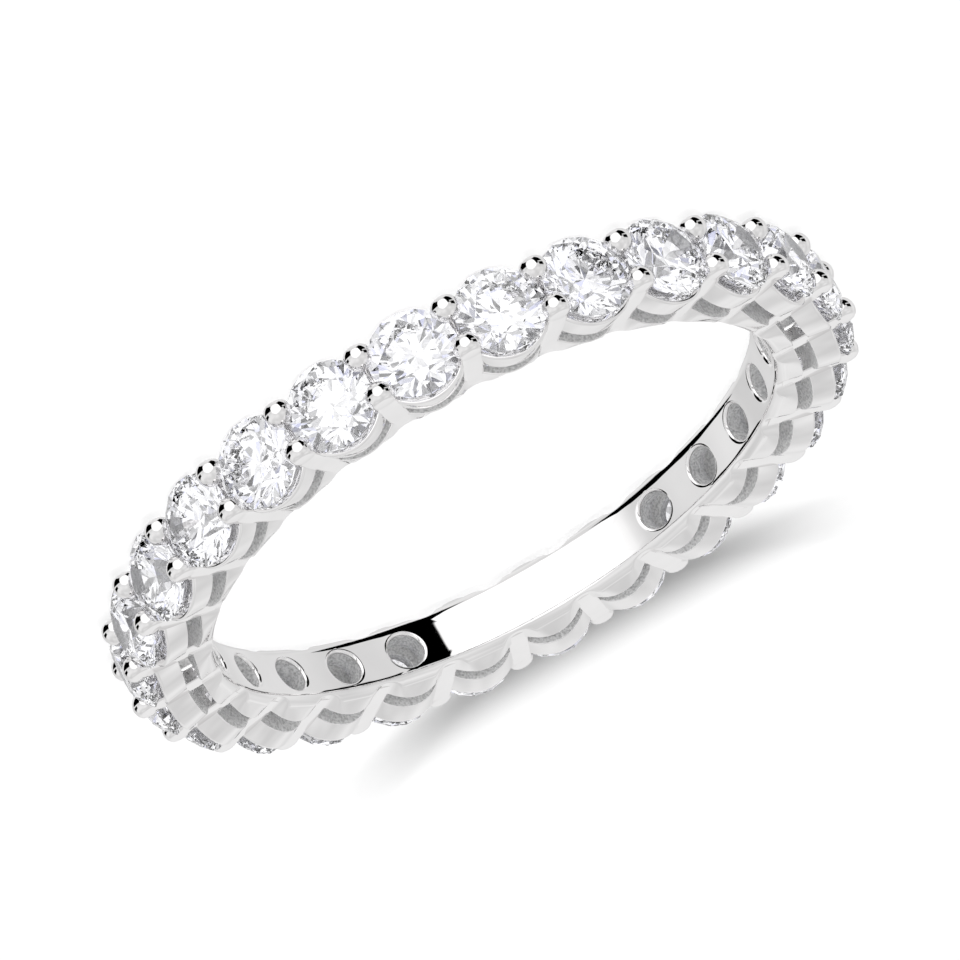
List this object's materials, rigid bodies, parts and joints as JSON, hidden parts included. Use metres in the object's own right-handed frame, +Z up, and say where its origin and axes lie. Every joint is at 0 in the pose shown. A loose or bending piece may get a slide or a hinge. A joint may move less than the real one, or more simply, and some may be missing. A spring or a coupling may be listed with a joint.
{
  "type": "eternity ring",
  "caption": "Full eternity ring: round brilliant stones side by side all round, held by shared prongs and open baskets on a polished white metal band, lying on its side.",
  "frame": {"origin": "on the surface the ring lies on, below the middle of the finger hole", "axes": "+Z up along the axis of the finger hole; +Y towards the stretch of the band that is bare inside"},
  "size_m": [0.0226, 0.0224, 0.0027],
  "materials": {
    "white_metal": "high polish, rhodium plated silver",
    "clear_stone": "colourless, polished facets"
  },
  "bodies": {
    "root": {"setting": "white_metal", "stone_01": "clear_stone", "stone_02": "clear_stone", "stone_03": "clear_stone", "stone_04": "clear_stone", "stone_05": "clear_stone", "stone_06": "clear_stone", "stone_07": "clear_stone", "stone_08": "clear_stone", "stone_09": "clear_stone", "stone_10": "clear_stone", "stone_11": "clear_stone", "stone_12": "clear_stone", "stone_13": "clear_stone", "stone_14": "clear_stone", "stone_15": "clear_stone", "stone_16": "clear_stone", "stone_17": "clear_stone", "stone_18": "clear_stone", "stone_19": "clear_stone", "stone_20": "clear_stone", "stone_21": "clear_stone", "stone_22": "clear_stone", "stone_23": "clear_stone", "stone_24": "clear_stone", "stone_25": "clear_stone", "stone_26": "clear_stone"}
  },
  "joints": []
}
